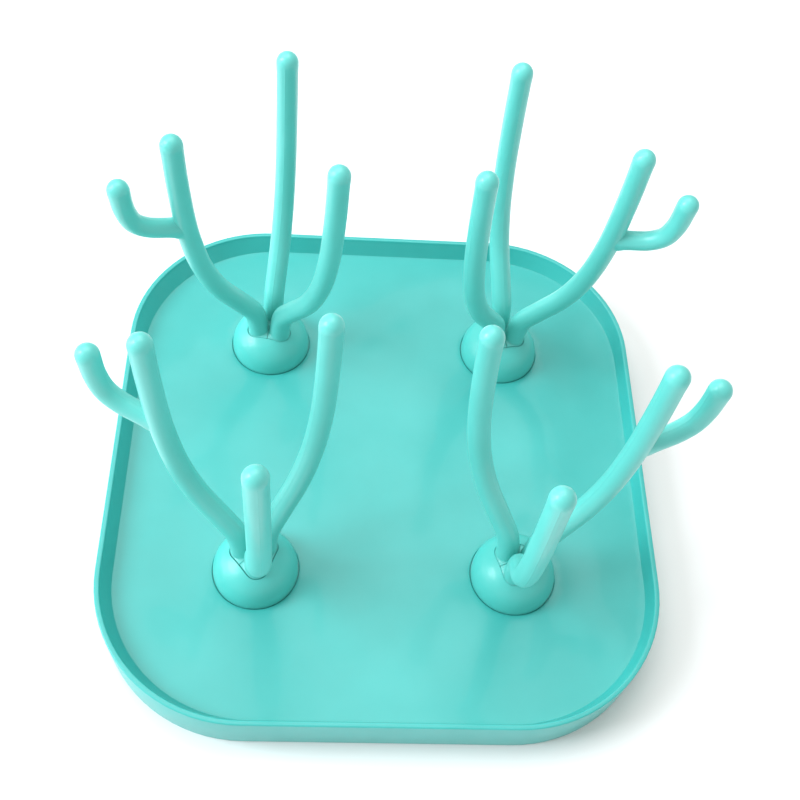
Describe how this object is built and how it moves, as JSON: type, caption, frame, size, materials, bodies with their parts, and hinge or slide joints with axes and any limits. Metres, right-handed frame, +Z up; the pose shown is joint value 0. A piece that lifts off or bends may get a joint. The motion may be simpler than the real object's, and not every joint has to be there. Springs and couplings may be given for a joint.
{
  "type": "bottle drying rack",
  "caption": "Square drip tray with lift-out trees of upright branches, on which baby bottles, teats and caps hang upside down to dry.",
  "frame": {"origin": "middle of the tray's underside, on the surface that the rack stands on", "axes": "+Z up out of the tray; +Y towards the back, along the tray's longer side; +X to the right as seen from the front"},
  "size_m": [0.2628, 0.2768, 0.1793],
  "materials": {
    "tray_plastic": "glossy injection-moulded polypropylene, opaque aqua, faintly rippled floor",
    "collar_plastic": "glossy injection-moulded polypropylene, opaque aqua",
    "branch_plastic": "glossy injection-moulded polypropylene, opaque aqua, with a fine mould parting line"
  },
  "bodies": {
    "tray": {"tray": "tray_plastic"},
    "back_left_tree": {"back_left_collar": "collar_plastic"},
    "back_left_hook_branch": {"back_left_hook_branch": "branch_plastic"},
    "back_left_branch_a": {"back_left_branch_a": "branch_plastic"},
    "back_left_branch_b": {"back_left_branch_b": "branch_plastic"},
    "front_left_tree": {"front_left_collar": "collar_plastic"},
    "front_left_hook_branch": {"front_left_hook_branch": "branch_plastic"},
    "front_left_branch_a": {"front_left_branch_a": "branch_plastic"},
    "front_left_branch_b": {"front_left_branch_b": "branch_plastic"},
    "back_right_tree": {"back_right_collar": "collar_plastic"},
    "back_right_hook_branch": {"back_right_hook_branch": "branch_plastic"},
    "back_right_branch_a": {"back_right_branch_a": "branch_plastic"},
    "back_right_branch_b": {"back_right_branch_b": "branch_plastic"},
    "front_right_tree": {"front_right_collar": "collar_plastic"},
    "front_right_hook_branch": {"front_right_hook_branch": "branch_plastic"},
    "front_right_branch_a": {"front_right_branch_a": "branch_plastic"},
    "front_right_branch_b": {"front_right_branch_b": "branch_plastic"}
  },
  "joints": [
    {"name": "back_left_tree_lift", "type": "slide", "parent": "tray", "child": "back_left_tree", "axis": [0, 0, 1], "range_m": [0, 0.03]},
    {"name": "back_left_hook_branch_pull", "type": "slide", "parent": "back_left_tree", "child": "back_left_hook_branch", "axis": [0, 0, 1], "range_m": [0, 0.036]},
    {"name": "back_left_branch_a_pull", "type": "slide", "parent": "back_left_tree", "child": "back_left_branch_a", "axis": [0, 0, 1], "range_m": [0, 0.036]},
    {"name": "back_left_branch_b_pull", "type": "slide", "parent": "back_left_tree", "child": "back_left_branch_b", "axis": [0, 0, 1], "range_m": [0, 0.036]},
    {"name": "front_left_tree_lift", "type": "slide", "parent": "tray", "child": "front_left_tree", "axis": [0, 0, 1], "range_m": [0, 0.03]},
    {"name": "front_left_hook_branch_pull", "type": "slide", "parent": "front_left_tree", "child": "front_left_hook_branch", "axis": [0, 0, 1], "range_m": [0, 0.036]},
    {"name": "front_left_branch_a_pull", "type": "slide", "parent": "front_left_tree", "child": "front_left_branch_a", "axis": [0, 0, 1], "range_m": [0, 0.036]},
    {"name": "front_left_branch_b_pull", "type": "slide", "parent": "front_left_tree", "child": "front_left_branch_b", "axis": [0, 0, 1], "range_m": [0, 0.036]},
    {"name": "back_right_tree_lift", "type": "slide", "parent": "tray", "child": "back_right_tree", "axis": [0, 0, 1], "range_m": [0, 0.03]},
    {"name": "back_right_hook_branch_pull", "type": "slide", "parent": "back_right_tree", "child": "back_right_hook_branch", "axis": [0, 0, 1], "range_m": [0, 0.036]},
    {"name": "back_right_branch_a_pull", "type": "slide", "parent": "back_right_tree", "child": "back_right_branch_a", "axis": [0, 0, 1], "range_m": [0, 0.036]},
    {"name": "back_right_branch_b_pull", "type": "slide", "parent": "back_right_tree", "child": "back_right_branch_b", "axis": [0, 0, 1], "range_m": [0, 0.036]},
    {"name": "front_right_tree_lift", "type": "slide", "parent": "tray", "child": "front_right_tree", "axis": [0, 0, 1], "range_m": [0, 0.03]},
    {"name": "front_right_hook_branch_pull", "type": "slide", "parent": "front_right_tree", "child": "front_right_hook_branch", "axis": [0, 0, 1], "range_m": [0, 0.036]},
    {"name": "front_right_branch_a_pull", "type": "slide", "parent": "front_right_tree", "child": "front_right_branch_a", "axis": [0, 0, 1], "range_m": [0, 0.036]},
    {"name": "front_right_branch_b_pull", "type": "slide", "parent": "front_right_tree", "child": "front_right_branch_b", "axis": [0, 0, 1], "range_m": [0, 0.036]}
  ]
}
